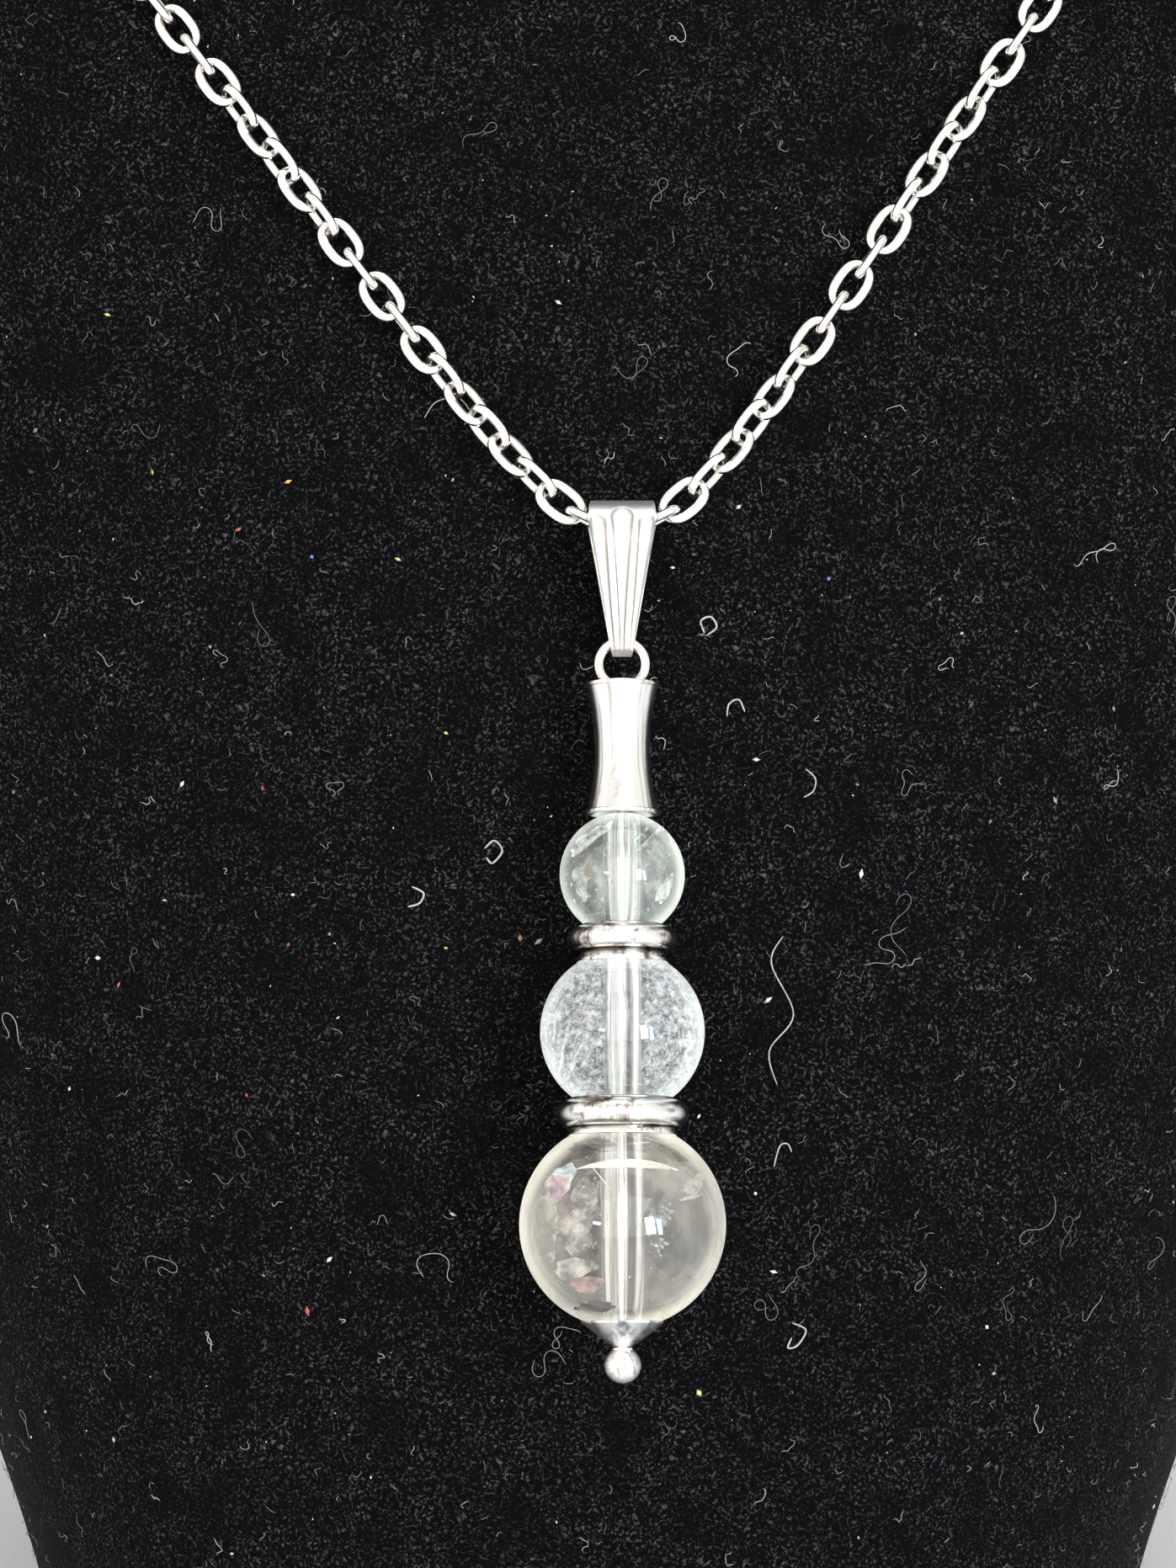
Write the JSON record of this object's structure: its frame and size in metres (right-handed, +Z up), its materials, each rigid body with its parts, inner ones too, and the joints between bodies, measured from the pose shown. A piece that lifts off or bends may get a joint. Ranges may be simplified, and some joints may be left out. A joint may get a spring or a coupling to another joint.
{
  "type": "rock crystal pendant necklace on a neck bust",
  "caption": "Pendant of three graduated clear crystal beads on a headpin with metal spacers, hung by a fluted bail from an oval-link chain that lies on a black velvet neck bust.",
  "frame": {"origin": "middle of the whole object's box, on the surface that the bust stands on", "axes": "+Z up, -Y towards the viewer in front of the bust, +X to the viewer's right"},
  "size_m": [0.1424, 0.0908, 0.187],
  "materials": {
    "velvet": "short black pile, soft sheen at grazing angles",
    "silver": "polished silver-toned metal with light handling wear",
    "crystal": "polished natural rock crystal with veils and flecks inside"
  },
  "bodies": {
    "stand": {"bust": "velvet", "chain_left": "silver", "chain_right": "silver", "clasp": "silver"},
    "bail": {"bail": "silver"},
    "drop": {"headpin": "silver", "tube_bead": "silver", "bead_small": "crystal", "spacer_upper": "silver", "bead_middle": "crystal", "spacer_lower": "silver", "bead_large": "crystal", "bead_cap": "silver"}
  },
  "joints": [
    {"name": "bail_swing", "type": "hinge", "parent": "stand", "child": "bail", "pos_m": [0.0016, -0.02888, 0.06358], "axis": [-1, 0, 0], "range_deg": [0, 90]},
    {"name": "drop_swing", "type": "hinge", "parent": "bail", "child": "drop", "pos_m": [0.0016, -0.03034, 0.05881], "axis": [-1, 0, 0], "range_deg": [0, 75]}
  ]
}
